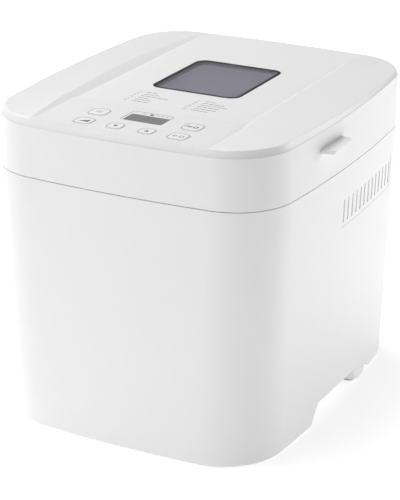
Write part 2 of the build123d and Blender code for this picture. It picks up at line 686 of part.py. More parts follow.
# Lid
def lid_knuckles():
    """Middle knuckles of both hinges with their webs."""
    solids = []
    for y in HINGE_Y:
        low = y - LID_KNUCKLE / 2
        web = Pos(HINGE_X, low, SEAM_Z + 0.9) * Box(LID_WEB, LID_KNUCKLE, 7.0, align=Align.MIN)
        solids.append(rod_y(KNUCKLE_RADIUS, HINGE_X, SEAM_Z, low, low + LID_KNUCKLE) + web)
    return solids


def finger_tab():
    """Ledge on the right wall that lifts the lid."""
    plan = make_face(Polyline((TAB_ROOT_X, TAB_ROOT_Y[0]), (TAB_TIP_X, TAB_TIP_Y[0]),
                              (TAB_TIP_X, TAB_TIP_Y[1]), (TAB_ROOT_X, TAB_ROOT_Y[1]), close=True))
    plan = fillet(plan.vertices().sort_by(Axis.X)[-2:], 4.0)
    tab = extrude(Pos(0, 0, TAB_LOW) * plan, TAB_HIGH - TAB_LOW)
    return fillet(tab.faces().sort_by(Axis.Z)[-1].edges(), 0.8)


def lid_joint(rise=0.0):
    """Sloping joint between the wall and the top of the lid, or a level above it."""
    tilt = atan2(LID_WALL_BACK - LID_WALL_FRONT, 2 * (CORNER_Y + BOW_Y))
    middle = (LID_WALL_FRONT + LID_WALL_BACK) / 2
    return Plane(origin=(0, 0, middle + rise), x_dir=(1, 0, 0), z_dir=(0, -sin(tilt), cos(tilt)))


def lid_plan(rise, inset):
    """Casing outline on a level of the lid joint."""
    return lid_joint(rise) * outline(0, inset, radius=CORNER_RADIUS - inset)


def lid_wall():
    """Drafted wall of the lid with finger tab, hinge knuckles and a screw boss in each corner."""
    low = SEAM_Z + SEAM_GAP / 2
    outer = loft([outline(low), lid_plan(0, LID_WALL_DRAFT)])
    hollow = loft([outline(low, SHELL_WALL, radius=CORNER_RADIUS - SHELL_WALL),
                   lid_plan(0, LID_WALL_DRAFT + SHELL_WALL)])
    wall = outer - hollow + [finger_tab(), *lid_knuckles()]
    wall += [disc(5.6, LINER_LEDGE, SEAM_Z + 34, at) & outer for at in LID_BOSSES]
    wall -= [disc(1.9, LINER_LOW, LINER_LEDGE + 14, at) for at in LID_BOSSES]
    return wall - pin_holes(PIN_PLAY)


def dome(drop):
    """Volume under the crowned top, which falls to one level at the rim all round."""
    half_x = CORNER_X + BOW_X - RIM_INSET
    half_y = CORNER_Y + BOW_Y - RIM_INSET
    spread = 1.1
    low = 1 - spread ** 2
    rise = (low, 2 - low, low)
    grid = [[Vector(half_x * spread * u, half_y * spread * v, RIM_Z - drop + DOME_RISE * a * b)
             for v, b in zip((-1, 0, 1), rise)] for u, a in zip((-1, 0, 1), rise)]
    crown = Face.make_bezier_surface(grid)
    return Solid.extrude(crown, Vector(0, 0, -40))


def trough_section(half, y, drop):
    """Trapezoid across the flat at one place, open upwards, facing the front."""
    high = 20.0
    flare = high / tan(radians(VALLEY_SLOPE))
    points = [(-half, 0), (half, 0), (half + flare, high), (-half - flare, high)]
    face = make_face(Polyline(points, close=True))
    return Plane(origin=(0, y, FLAT_Z - drop), x_dir=(1, 0, 0), z_dir=(0, -1, 0)) * face


def valley(drop):
    """Flat that runs from front to back and flares a little at the control panel."""
    far, near = PANEL_FLARE_Y
    wide = trough_section(PANEL_HALF, near, drop)
    flared = loft([trough_section(VALLEY_HALF, far, drop), wide])
    return extrude(trough_section(VALLEY_HALF, 200, drop), 400) + [flared, extrude(wide, 200)]


def lid_crown(inset, drop, low):
    """Domed lid volume on a shoulder, set in from the outside and lowered by a skin thickness."""
    plans = []
    for rise in (low, SHOULDER_RISE):
        plans.append(lid_plan(rise, LID_WALL_DRAFT + LID_STEP + inset + SHOULDER_LEAN * rise))
    crown = loft(plans) & dome(drop)
    if not inset:
        crown = fillet(crown.faces().sort_by(Axis.Z)[-1].edges(), RIM_RADIUS)
    return crown - valley(drop)


def lid_spigot():
    """Rib under the lid top that drops inside the wall."""
    rib = loft([lid_plan(-SPIGOT_DEEP, SPIGOT_INSET), lid_plan(SPIGOT_DEEP, SPIGOT_INSET)])
    inner = SPIGOT_INSET + SPIGOT_THICK
    rib -= loft([lid_plan(-SPIGOT_DEEP, inner), lid_plan(SPIGOT_DEEP, inner)])
    return rib & dome(LID_SKIN / 2)


def fascia_plan(play):
    """Panel form: straight at the sides and back, with its front edge along the bowed front of the lid."""
    low = FLAT_Z - FASCIA_DEEP
    size_x = FASCIA_X + 2 * play
    size_y = FASCIA_Y + 2 * play
    panel = block(size_x, size_y, low, FLAT_Z, 3.8, FASCIA_AT)
    return panel & slab(low, FLAT_Z, FASCIA_FRONT_INSET - 3 * play)


def lid_top():
    """Domed cover of the lid with openings for window, fascia, display and keys."""
    top = lid_crown(0, 0, 0) - lid_crown(LID_SKIN, LID_SKIN, -2) + lid_spigot()
    top += [disc(3.5, CONTROL_BOARD_Z + CONTROL_BOARD_THICK, FLAT_Z - 2, at) for at in CONTROL_POSTS]
    gap = 2 * WINDOW_GAP
    top -= block(WINDOW_X + gap, WINDOW_Y + gap, FLAT_Z - 9, FLAT_Z + 9, WINDOW_RADIUS, WINDOW_AT)
    top -= fascia_plan(FASCIA_PLAY)
    top -= block(DISPLAY_X + 6, DISPLAY_Y + 6, FLAT_Z - 9, FLAT_Z + 9, 1, DISPLAY_AT)
    for x, y, size_x, size_y in KEYS.values():
        top -= block(size_x + 2, size_y + 2, FLAT_Z - 9, FLAT_Z + 9, KEY_RADIUS + 1, (x, y))
    return top


def control_fascia():
    """Thin panel let into the lid top, pierced for the display and keys."""
    panel = fascia_plan(0)
    panel -= block(DISPLAY_X + 0.4, DISPLAY_Y + 0.4, FLAT_Z - 9, FLAT_Z + 9, 1.2, DISPLAY_AT)
    gap = 2 * KEY_GAP
    for x, y, size_x, size_y in KEYS.values():
        panel -= block(size_x + gap, size_y + gap, FLAT_Z - 9, FLAT_Z + 9, KEY_RADIUS + KEY_GAP, (x, y))
    return panel


def key(x, y, size_x, size_y):
    """Key cap with a stem that reaches down to its switch."""
    cap = block(size_x, size_y, FLAT_Z - FASCIA_DEEP - 0.8, FLAT_Z + KEY_PROUD, KEY_RADIUS, (x, y))
    cap = fillet(cap.faces().sort_by(Axis.Z)[-1].edges(), 0.3)
    return cap + disc(2.5, FLAT_Z - KEY_DEEP, FLAT_Z - FASCIA_DEEP, (x, y))


def window_pane():
    return block(WINDOW_X, WINDOW_Y, FLAT_Z - LID_SKIN, FLAT_Z, WINDOW_RADIUS - WINDOW_GAP, WINDOW_AT)


def window_gasket():
    """Seal between the outer and the inner window."""
    low = SEAM_Z + 43.0
    outer = block(WINDOW_X + 12, WINDOW_Y + 12, low, FLAT_Z - LID_SKIN, 14, WINDOW_AT)
    return outer - block(WINDOW_X - 5, WINDOW_Y - 5, low - 1, FLAT_Z, 8, WINDOW_AT)


def inner_window():
    return block(WINDOW_X + 12, WINDOW_Y + 12, SEAM_Z + 40, SEAM_Z + 43, 14, WINDOW_AT)


def lid_liner():
    """Inner lid moulding: a ledge round a deep dish over the oven."""
    roof = SEAM_Z + 40
    liner = slab(LINER_LOW, LINER_LEDGE, SHELL_WALL + 0.4)
    dish = block(186, 190, LINER_LOW, roof, 22, CHAMBER_AT)
    hollow = block(181, 185, LINER_LOW - 1, roof - 3, 19.5, CHAMBER_AT)
    hollow = fillet(hollow.faces().sort_by(Axis.Z)[-1].edges(), 6)
    liner += dish
    liner -= hollow
    liner -= block(WINDOW_X - 5, WINDOW_Y - 5, roof - 9, roof + 1, 8, WINDOW_AT)
    return liner - [disc(2.0, LINER_LOW - 1, LINER_LEDGE + 1, at) for at in LID_BOSSES]


def lid_seal():
    """Silicone ring under the lid, round the oven mouth."""
    low = DECK_TOP + 0.3
    outer = block(208, 212, low, LINER_LOW, 30, CHAMBER_AT)
    return outer - block(200, 204, low - 1, SEAM_Z + 9, 26, CHAMBER_AT)


def display_lens():
    return block(DISPLAY_X, DISPLAY_Y, FLAT_Z - 1.4, FLAT_Z - 0.1, 1.0, DISPLAY_AT)


def display_module():
    """Liquid-crystal cell in its frame, on the control board."""
    low = CONTROL_BOARD_Z + CONTROL_BOARD_THICK
    return block(DISPLAY_X + 5, DISPLAY_Y + 5, low, FLAT_Z - 1.4, 0.8, DISPLAY_AT)


def control_board():
    """Board behind the fascia with a tact switch under every key."""
    low = CONTROL_BOARD_Z
    high = low + CONTROL_BOARD_THICK
    board = block(148, 56, low, high, 2, (2, -117))
    switches = [block(6, 6, high, high + 2.8, 0.5, (x, y)) for x, y, _, _ in KEYS.values()]
    return board + [*switches, block(24, 12, low - 4, low, 0.5, (2, -117))]


PIECES = {
    "body_shell": body_shell, "base_plate": base_plate, "rubber_feet": rubber_feet,
    "base_screws": lambda: screws(BASE_SCREWS, BASE_LOW, 18),
    "mains_gland": mains_gland, "top_deck": top_deck,
    "oven_chamber": oven_chamber, "chamber_standoffs": chamber_standoffs,
    "heating_element": heating_element, "element_bushes": element_bushes,
    "temperature_sensor": temperature_sensor, "pan_seat": pan_seat,
    "drive_frame": drive_frame, "frame_posts": frame_posts, "drive_bearing": drive_bearing,
    "drive_belt": drive_belt, "drive_pulley": drive_pulley, "drive_shaft": drive_shaft,
    "drive_circlip": drive_circlip, "lower_coupling": lower_coupling,
    "motor_stator": motor_stator, "motor_end_caps": motor_end_caps, "motor_mounts": motor_mounts,
    "motor_shaft": motor_shaft, "motor_rotor": motor_rotor, "motor_pulley": motor_pulley,
    "cooling_fan": cooling_fan, "motor_capacitor": motor_capacitor,
    "board_carrier": board_carrier, "power_board": power_board, "mains_transformer": mains_transformer,
    "hinge_pins": hinge_pins,
    "bread_pan": bread_pan, "pan_base_ring": pan_base_ring, "pan_bush": pan_bush,
    "handle_pivots": handle_pivots, "pan_handle": pan_handle, "pan_shaft": pan_shaft,
    "upper_coupling": upper_coupling, "pan_circlip": pan_circlip, "kneading_paddle": kneading_paddle,
    "lid_wall": lid_wall, "lid_top": lid_top, "lid_liner": lid_liner, "lid_seal": lid_seal,
    "window_pane": window_pane, "window_gasket": window_gasket, "inner_window": inner_window,
    "control_fascia": control_fascia, "display_lens": display_lens, "display_module": display_module,
    "control_board": control_board,
    "lid_screws": lambda: screws(LID_BOSSES, LINER_LOW, 12),
}

os.makedirs("parts", exist_ok=True)
for name, make in PIECES.items():
    export_step(make(), f"parts/{name}.step")
for name, sizes in KEYS.items():
    export_step(key(*sizes), f"parts/{name}.step")
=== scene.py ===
from math import radians

import bmesh
import bpy
from mathutils import Matrix, Quaternion, Vector


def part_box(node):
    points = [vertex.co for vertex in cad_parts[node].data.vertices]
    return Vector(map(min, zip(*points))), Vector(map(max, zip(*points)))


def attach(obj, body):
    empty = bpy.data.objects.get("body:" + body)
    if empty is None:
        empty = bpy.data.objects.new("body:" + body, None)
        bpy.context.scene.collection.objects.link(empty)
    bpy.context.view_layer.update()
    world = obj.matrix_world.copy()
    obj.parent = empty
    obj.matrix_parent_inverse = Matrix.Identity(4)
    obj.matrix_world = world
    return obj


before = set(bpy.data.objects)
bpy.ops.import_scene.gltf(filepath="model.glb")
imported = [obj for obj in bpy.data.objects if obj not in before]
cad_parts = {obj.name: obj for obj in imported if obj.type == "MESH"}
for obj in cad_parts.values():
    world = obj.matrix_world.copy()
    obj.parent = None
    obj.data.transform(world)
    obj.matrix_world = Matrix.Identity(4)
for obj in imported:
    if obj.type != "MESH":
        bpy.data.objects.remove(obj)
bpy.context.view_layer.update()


# Rubber feet. Four moulded pads of soft rubber, pressed onto the legs of the base. Their pale grey is a lighter
# copy of the black rubber and partly painted light, which lifts the shade round the legs.
# Their skin is dull and finely pitted from the mould.
NOISE_SPREAD = (0.3, 0.7)


def object_place(tree, stretch=(1.0, 1.0, 1.0)):
    """Object coordinates, drawn out along any axis whose scale is below one."""
    place = tree.nodes.new("ShaderNodeTexCoord")
    mapping = tree.nodes.new("ShaderNodeMapping")
    mapping.inputs["Scale"].default_value = stretch
    tree.links.new(place.outputs["Object"], mapping.inputs["Vector"])
    return mapping.outputs["Vector"]


def grain(tree, scale, detail=3.0, stretch=(1.0, 1.0, 1.0)):
    """Noise fixed to the piece, with its scale in spots per metre."""
    noise = tree.nodes.new("ShaderNodeTexNoise")
    noise.inputs["Scale"].default_value = scale
    noise.inputs["Detail"].default_value = detail
    tree.links.new(object_place(tree, stretch), noise.inputs["Vector"])
    return noise.outputs["Fac"]


def between(tree, value, low, high):
    """The middle values of a noise, spread over a range."""
    spread = tree.nodes.new("ShaderNodeMapRange")
    spread.inputs["From Min"].default_value = NOISE_SPREAD[0]
    spread.inputs["From Max"].default_value = NOISE_SPREAD[1]
    spread.inputs["To Min"].default_value = low
    spread.inputs["To Max"].default_value = high
    tree.links.new(value, spread.inputs["Value"])
    return spread.outputs["Result"]


def tint(tree, value, low, high, spread=NOISE_SPREAD):
    """Colour that goes from one tone to another while a value crosses a spread."""
    ramp = tree.nodes.new("ShaderNodeValToRGB")
    ramp.color_ramp.elements[0].position = spread[0]
    ramp.color_ramp.elements[0].color = (*low, 1.0)
    ramp.color_ramp.elements[1].position = spread[1]
    ramp.color_ramp.elements[1].color = (*high, 1.0)
    tree.links.new(value, ramp.inputs["Fac"])
    return ramp.outputs["Color"]


def raised(tree, value, height):
    """Bump of a given height in metres."""
    bump = tree.nodes.new("ShaderNodeBump")
    bump.inputs["Distance"].default_value = height
    tree.links.new(value, bump.inputs["Height"])
    return bump.outputs["Normal"]


def bare_material(name, **sockets):
    """New material with constants on its shader, ready for its colour, gloss and relief."""
    material = bpy.data.materials.new(name)
    material.use_nodes = True
    shader = material.node_tree.nodes["Principled BSDF"]
    for socket, value in sockets.items():
        shader.inputs[socket.replace("_", " ")].default_value = value
    return material, material.node_tree, shader


def wire_up(tree, shader, colour, roughness, relief=None):
    """Links a colour, a roughness and, where there is one, a relief to the shader."""
    tree.links.new(colour, shader.inputs["Base Color"])
    tree.links.new(roughness, shader.inputs["Roughness"])
    if relief is not None:
        tree.links.new(relief, shader.inputs["Normal"])


def moulded(name, low, high, patch, roughness, pit, height, **sockets):
    """Cast or moulded stuff: two near tones in soft patches, uneven gloss and a fine skin."""
    material, tree, shader = bare_material(name, **sockets)
    patches = grain(tree, patch)
    skin = grain(tree, pit, 2.0)
    wire_up(tree, shader, tint(tree, patches, low, high), between(tree, patches, *roughness),
            raised(tree, skin, height))
    return material


def coat(material, *nodes):
    """Gives pieces of the frame their finish."""
    for node in nodes:
        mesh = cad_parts[node].data
        mesh.materials.clear()
        mesh.materials.append(material)


# Pale grey rubber, partly painted light that lifts the shade round the legs.
foot_rubber_painted_light = moulded("foot_rubber_painted_light", (0.500, 0.500, 0.505), (0.560, 0.560, 0.565), patch=260,
                      roughness=(0.72, 0.86), pit=1900, height=0.00008)
coat(foot_rubber_painted_light, "rubber_feet")


# Base plate, mains gland and board stand. White injection moulded plastic with a fine spark texture.
# The plate is screwed up into the shell, and the gland, a little greyer, clips into the rear wall.
base_plastic = moulded("base_plastic", (0.74, 0.74, 0.745), (0.78, 0.78, 0.785), patch=90,
                       roughness=(0.44, 0.56), pit=2400, height=0.00003)
coat(base_plastic, "base_plate", "board_carrier")
gland_plastic = moulded("gland_plastic", (0.55, 0.55, 0.56), (0.61, 0.61, 0.62), patch=120,
                        roughness=(0.40, 0.52), pit=2600, height=0.00003)
coat(gland_plastic, "mains_gland")


# Drive frame with its posts and standoffs, and the base screws. Pressed zinc plated steel sheet
# and turned pillars, screwed together on the base plate.
TOOL_MARKS = 900


def plated(name, low, high, roughness, flake=220, stretch=(1.0, 1.0, 1.0), height=0.00001, metallic=1.0):
    """Metal with a mottled tone and faint tool marks, duller if it is not all metallic."""
    material, tree, shader = bare_material(name, Metallic=metallic)
    mottle = grain(tree, flake, 4.0)
    marks = grain(tree, TOOL_MARKS, 2.0, stretch)
    wire_up(tree, shader, tint(tree, mottle, low, high), between(tree, marks, *roughness),
            raised(tree, marks, height))
    return material


zinc = plated("zinc_plate", (0.52, 0.53, 0.54), (0.63, 0.64, 0.66), (0.30, 0.46))
coat(zinc, "drive_frame", "frame_posts", "chamber_standoffs", "base_screws")


# Shafts, circlips and hinge pins. Bright ground steel, with fine rings round the upright shafts.
# The circlips snap on to the shafts, and the pins are pushed through the knuckles of the hinge.
bright_steel = plated("bright_steel", (0.62, 0.62, 0.63), (0.70, 0.70, 0.71), (0.16, 0.28), flake=300,
                      stretch=(1.0, 1.0, 6.0))
coat(bright_steel, "drive_shaft", "drive_circlip", "motor_shaft", "hinge_pins", "pan_shaft", "pan_circlip")


# Bearing and pan bush. Sintered bronze, pressed from powder and soaked in oil, with open pores.
# The bearing sits in the hub of the drive frame, and the bush in the floor of the pan.
bronze, tree, shader = bare_material("sintered_bronze", Metallic=1.0)
pores = grain(tree, 1600, 2.0)
wire_up(tree, shader, tint(tree, pores, (0.30, 0.17, 0.075), (0.50, 0.32, 0.15)),
        between(tree, pores, 0.50, 0.34), raised(tree, pores, 0.00004))
coat(bronze, "drive_bearing", "pan_bush")


# Pulleys, couplings and fan. Glass filled black nylon, moulded and pressed on the shafts.
# The belt and the motor mounts are black rubber, and the dogs of the couplings are die cast.
nylon = moulded("black_nylon", (0.014, 0.014, 0.015), (0.030, 0.030, 0.031), patch=420,
                roughness=(0.42, 0.60), pit=1400, height=0.00003)
coat(nylon, "drive_pulley", "motor_pulley", "cooling_fan")
black_rubber = moulded("black_rubber", (0.010, 0.010, 0.011), (0.020, 0.020, 0.021), patch=260,
                       roughness=(0.72, 0.86), pit=1900, height=0.00008)
coat(black_rubber, "motor_mounts", "drive_belt")
die_cast = plated("die_cast_dogs", (0.40, 0.40, 0.41), (0.50, 0.50, 0.51), (0.38, 0.52))
coat(die_cast, "lower_coupling", "upper_coupling")


# Motor. A stack of punched steel sheets between two cast covers, with a squirrel-cage rotor.
# The sheet edges show as fine bands up the sides of the stack, as they do on the transformer.
SHEET_PITCH = 0.0006
WAVE_REPEAT = 0.314
stack_steel, tree, shader = bare_material("stack_steel", Metallic=0.9)
bands = tree.nodes.new("ShaderNodeTexWave")
bands.bands_direction = "Z"
bands.inputs["Scale"].default_value = WAVE_REPEAT / SHEET_PITCH
bands.inputs["Distortion"].default_value = 0.4
tree.links.new(object_place(tree), bands.inputs["Vector"])
sheet_edges = bands.outputs["Fac"]
wire_up(tree, shader, tint(tree, sheet_edges, (0.13, 0.13, 0.14), (0.26, 0.26, 0.27)),
        between(tree, sheet_edges, 0.55, 0.40), raised(tree, sheet_edges, 0.00006))
coat(stack_steel, "motor_stator", "motor_rotor", "mains_transformer")
cover_casting = plated("cover_casting", (0.48, 0.48, 0.49), (0.58, 0.58, 0.59), (0.42, 0.58), flake=500,
                       height=0.00004)
coat(cover_casting, "motor_end_caps")


# Capacitor and boards. A dark plastic can with spade tags stands on the base beside the motor.
# The boards are green fibreglass with copper tracks under the lacquer. One stands upright in its holder,
# and one lies behind the fascia.
capacitor_can = moulded("capacitor_can", (0.10, 0.10, 0.11), (0.14, 0.14, 0.15), patch=160,
                        roughness=(0.34, 0.44), pit=1800, height=0.00002)
coat(capacitor_can, "motor_capacitor")
board_green, tree, shader = bare_material("board_green")
track_cells = tree.nodes.new("ShaderNodeTexVoronoi")
track_cells.distance = "MANHATTAN"
track_cells.inputs["Scale"].default_value = 190
tree.links.new(object_place(tree), track_cells.inputs["Vector"])
tracks = track_cells.outputs["Distance"]
wire_up(tree, shader, tint(tree, tracks, (0.010, 0.075, 0.030), (0.030, 0.150, 0.060)),
        between(tree, tracks, 0.32, 0.44), raised(tree, tracks, 0.00003))
coat(board_green, "power_board", "control_board")


# Body shell, lid wall, lid top and fascia. Injection moulded white plastic with a polished skin,
# very slightly wavy where the wall shrank behind it. Light goes a little way in, which softens its grooves.
# The lid top drops into its wall with a rib, and the fascia is let into the top.
white_gloss, tree, shader = bare_material(
    "white_gloss", Coat_Weight=0.10, Coat_Roughness=0.15, Subsurface_Weight=0.5,
    Subsurface_Radius=(1.0, 1.0, 1.0), Subsurface_Scale=0.002)
flow = grain(tree, 120, 2.0)
skin = grain(tree, 2600, 1.0)
wire_up(tree, shader, tint(tree, flow, (0.806, 0.806, 0.811), (0.812, 0.812, 0.816)),
        between(tree, flow, 0.30, 0.33), raised(tree, skin, 0.000004))
coat(white_gloss, "body_shell", "lid_wall", "lid_top", "control_fascia")


# Oven chamber and pan seat. Aluminised steel sheet, drawn into a box and spot welded,
# with the draw marks running up the walls.
oven_sheet = plated("oven_sheet", (0.50, 0.50, 0.50), (0.62, 0.62, 0.61), (0.34, 0.48), flake=60,
                    stretch=(1.0, 1.0, 0.06), height=0.00002, metallic=0.45)
coat(oven_sheet, "oven_chamber", "pan_seat")


# Heating element, its ceramic bushes and the temperature probe. The sheath is oxidised steel tube,
# bent cold, with a satin grey-green bloom from the first firing. The bushes hold it in the oven wall.
element_sheath = plated("element_sheath", (0.085, 0.088, 0.082), (0.140, 0.142, 0.130), (0.42, 0.58), flake=130)
coat(element_sheath, "heating_element")
bush_ceramic = moulded("bush_ceramic", (0.72, 0.70, 0.65), (0.80, 0.78, 0.74), patch=400,
                       roughness=(0.50, 0.65), pit=1500, height=0.00004)
coat(bush_ceramic, "element_bushes")
coat(bright_steel, "temperature_sensor")


# Top deck and lid liner. White heat-proof plastic with a soft satin skin.
# The deck rests on a ledge of the shell over the oven, and the liner is screwed up under the lid.
satin_white = moulded("satin_white", (0.740, 0.740, 0.742), (0.772, 0.772, 0.774), patch=60,
                      roughness=(0.40, 0.50), pit=2200, height=0.00002)
coat(satin_white, "top_deck", "lid_liner")


# Bread pan and paddle. Drawn and cast aluminium under a dark non-stick coat,
# sprayed on with pale flecks through it.
FLECK_SPREAD = (0.08, 0.16)
nonstick, tree, shader = bare_material("nonstick_coat", Specular_IOR_Level=0.5)
flecks = tree.nodes.new("ShaderNodeTexVoronoi")
flecks.inputs["Scale"].default_value = 700
tree.links.new(object_place(tree), flecks.inputs["Vector"])
orange_peel = grain(tree, 500, 2.0)
wire_up(tree, shader,
        tint(tree, flecks.outputs["Distance"], (0.16, 0.16, 0.16), (0.035, 0.035, 0.037), FLECK_SPREAD),
        between(tree, orange_peel, 0.30, 0.42), raised(tree, orange_peel, 0.00005))
coat(nonstick, "bread_pan", "kneading_paddle")


# Pan fittings. A cast aluminium locking ring under the pan, and ears riveted to its ends.
# The handle is a bail of plated steel wire, hooked into the ears.
ring_casting = plated("ring_casting", (0.55, 0.55, 0.56), (0.66, 0.66, 0.67), (0.34, 0.50), flake=400,
                      height=0.00003)
coat(ring_casting, "pan_base_ring", "handle_pivots")
coat(bright_steel, "pan_handle")


# Lid seal and window gasket. Grey silicone rubber, each moulded as one ring. The seal is pressed in under
# the lid, round the oven mouth, and the gasket lies between the two panes. The lid screws are zinc plated.
silicone = moulded("silicone", (0.30, 0.30, 0.31), (0.36, 0.36, 0.37), patch=200, roughness=(0.55, 0.68),
                   pit=1500, height=0.00003)
coat(silicone, "lid_seal")
# The gasket's silicone is paler than the seal's: partly painted light, which lifts the shade in the gap under
# the glass.
gasket_silicone_painted_light = moulded("gasket_silicone_painted_light", (0.440, 0.435, 0.460), (0.480, 0.475, 0.500), patch=200,
                          roughness=(0.50, 0.64), pit=1500, height=0.00003)
coat(gasket_silicone_painted_light, "window_gasket")
coat(zinc, "lid_screws")


# Window. A pane of lightly tinted toughened glass set flush in the lid, over a frosted inner pane.
# A black enamel border is fired on along its edge. It is drawn shifted to the front and the right, so it is
# wider there and narrower at the back and the left, and the gasket, paler with painted light, shows as a grey
# step below it.
MM = 0.001
FILM_THICK = 0.05
PANE_RADIUS = 9.7
BORDER_LINE = 1.9
BORDER_SHIFT = (-0.9, 0.9)
CORNER_STEPS = 8


def glazing(name, clearness, low, high, roughness):
    """Glass with the faintest drift in its tint and polish, milky where it isn't quite clear."""
    material, tree, shader = bare_material(name, Transmission_Weight=clearness, IOR=1.5)
    drift = grain(tree, 5, 0.0)
    wire_up(tree, shader, tint(tree, drift, low, high), between(tree, drift, *roughness))
    return material


def top_face(node):
    """Middle, size and height of the top of a piece, in millimetres."""
    low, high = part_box(node)
    middle = [(low[i] + high[i]) / 2 / MM for i in (0, 1)]
    size = [(high[i] - low[i]) / MM for i in (0, 1)]
    return middle, size, high[2] / MM


def outline_only(bm, face, line, shift=(0.0, 0.0)):
    """Leaves a line along the edge of a flat face, wider on one side if its inside is shifted."""
    bmesh.ops.inset_region(bm, faces=[face], thickness=line * MM, use_boundary=True,
                           use_even_offset=True)
    bmesh.ops.translate(bm, vec=(shift[0] * MM, shift[1] * MM, 0.0), verts=face.verts[:])
    bmesh.ops.delete(bm, geom=[face], context="FACES_ONLY")


def flat_plate(bm, x, y, size_x, size_y, radius=0.0, line=0.0, shift=(0.0, 0.0)):
    """Flat rectangle with round corners, or only a line along its edge, in millimetres."""
    corners = bmesh.ops.create_grid(bm, x_segments=1, y_segments=1, size=0.5)["verts"]
    bmesh.ops.scale(bm, vec=(size_x * MM, size_y * MM, 1.0), verts=corners)
    bmesh.ops.translate(bm, vec=(x * MM, y * MM, 0.0), verts=corners)
    face = corners[0].link_faces[0]
    if radius:
        others = set(bm.faces) - {face}
        bmesh.ops.bevel(bm, geom=corners, offset=radius * MM, affect="VERTICES", segments=CORNER_STEPS,
                        profile=0.5, material=-1)
        face = (set(bm.faces) - others).pop()
    if line:
        outline_only(bm, face, line, shift)


def lay_film(name, bm, body, height, film_material):
    """Thin film, for prints and for the painted shade on the key edges: gives flat shapes their thickness and
    lays them on a face at a height in millimetres.
    """
    film = bmesh.ops.extrude_face_region(bm, geom=bm.faces[:])["geom"]
    bmesh.ops.translate(bm, vec=(0.0, 0.0, FILM_THICK * MM),
                        verts=[part for part in film if isinstance(part, bmesh.types.BMVert)])
    bmesh.ops.translate(bm, vec=(0.0, 0.0, height * MM), verts=bm.verts[:])
    bmesh.ops.recalc_face_normals(bm, faces=bm.faces[:])
    mesh = bpy.data.meshes.new(name)
    bm.to_mesh(mesh)
    bm.free()
    mesh.materials.append(film_material)
    piece = bpy.data.objects.new(name, mesh)
    bpy.context.scene.collection.objects.link(piece)
    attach(piece, body)


smoke_glass = glazing("smoke_glass", 1.0, (0.83, 0.825, 0.875), (0.85, 0.845, 0.895), (0.035, 0.05))
coat(smoke_glass, "window_pane")
frosted_glass = glazing("frosted_glass", 0.25, (0.78, 0.77, 0.86), (0.82, 0.81, 0.90), (0.20, 0.30))
coat(frosted_glass, "inner_window")
enamel = moulded("black_enamel", (0.016, 0.016, 0.018), (0.024, 0.024, 0.026), patch=300,
                 roughness=(0.30, 0.40), pit=2000, height=0.00001, Specular_IOR_Level=0.2)
FLAT_Z = top_face("control_fascia")[2]
pane_at, pane_size = top_face("window_pane")[:2]
bm = bmesh.new()
flat_plate(bm, *pane_at, *pane_size, PANE_RADIUS, BORDER_LINE, BORDER_SHIFT)
lay_film("window_border", bm, "lid", FLAT_Z, enamel)


# Display. A grey liquid-crystal cell in its frame under a clear lens in the fascia, given a faint painted glow
# that makes up for the light the lens holds back.
# A thin printed line and a row of small marks stand round it, with one dark dot among them.
BEZEL_AT = (0.9, -104.2)
BEZEL_SIZE = (36.8, 24.0)
BEZEL_RADIUS = 2.2
BEZEL_LINE = 0.45
MARKS_X = (-6.0, 6.4, 10.4, 14.0)
MARKS_Y = -95.8
MARK_SIZE = (2.0, 1.0)
MARK_RADIUS = 0.3
MARK_LINE = 0.25
DOT_X = 0.7
DOT_SIZE = (3.2, 3.2)
DOT_RADIUS = 1.4
clear_glass = glazing("clear_glass", 1.0, (0.92, 0.93, 0.92), (0.95, 0.95, 0.95), (0.035, 0.045))
coat(clear_glass, "display_lens")
# The emission on the cell is a painted glow, not a backlight: it lifts the cell's tone under the lens.
liquid_crystal_painted_glow = moulded("liquid_crystal_painted_glow", (0.560, 0.556, 0.580), (0.600, 0.596, 0.620), patch=700,
                         roughness=(0.34, 0.42), pit=2600, height=0.00001,
                         Emission_Color=(0.97, 0.96, 1.0, 1.0), Emission_Strength=0.14)
coat(liquid_crystal_painted_glow, "display_module")
grey_ink_and_gap_shade = moulded("grey_ink_and_gap_shade", (0.130, 0.130, 0.134), (0.160, 0.160, 0.164), patch=500,
                   roughness=(0.50, 0.62), pit=2400, height=0.00001)
dark_ink = moulded("dark_ink", (0.020, 0.020, 0.022), (0.030, 0.030, 0.032), patch=500,
                   roughness=(0.46, 0.58), pit=2400, height=0.00001)
bm = bmesh.new()
flat_plate(bm, *BEZEL_AT, *BEZEL_SIZE, BEZEL_RADIUS, BEZEL_LINE)
for x in MARKS_X:
    flat_plate(bm, x, MARKS_Y, *MARK_SIZE, MARK_RADIUS, MARK_LINE)
lay_film("display_frame", bm, "lid", FLAT_Z, grey_ink_and_gap_shade)
bm = bmesh.new()
flat_plate(bm, DOT_X, MARKS_Y, *DOT_SIZE, DOT_RADIUS)
lay_film("display_mark", bm, "lid", FLAT_Z, dark_ink)


# Lists on the lid. Two printed columns of plain numbers, each with a row of short bars after it.
# They are pad-printed in grey on the lid top between the window and the fascia.
LIST_TOP_Y = -42.5
LIST_PITCH = 5.2
DIGIT_SIZE = 3.4
BAR_THICK = 0.75
BAR_LENGTH = 4.4
BAR_GAP = 0.7
BARS_START = 7.5
LISTS = [(-38.5, 1, (2, 3, 5, 2, 3, 3)), (16.3, 7, (2, 4, 5, 4, 4, 3))]


def digits(bm, text, x, y, size):
    """Number as a flat shape, drawn from a type outline, with its right end at a place."""
    curve = bpy.data.curves.new("digits", "FONT")
    curve.body = text
    curve.size = size * MM
    curve.align_x = "RIGHT"
    curve.align_y = "CENTER"
    drawn = bpy.data.meshes.new_from_object(bpy.data.objects.new("digits", curve))
    drawn.transform(Matrix.Translation((x * MM, y * MM, 0.0)))
    bm.from_mesh(drawn)


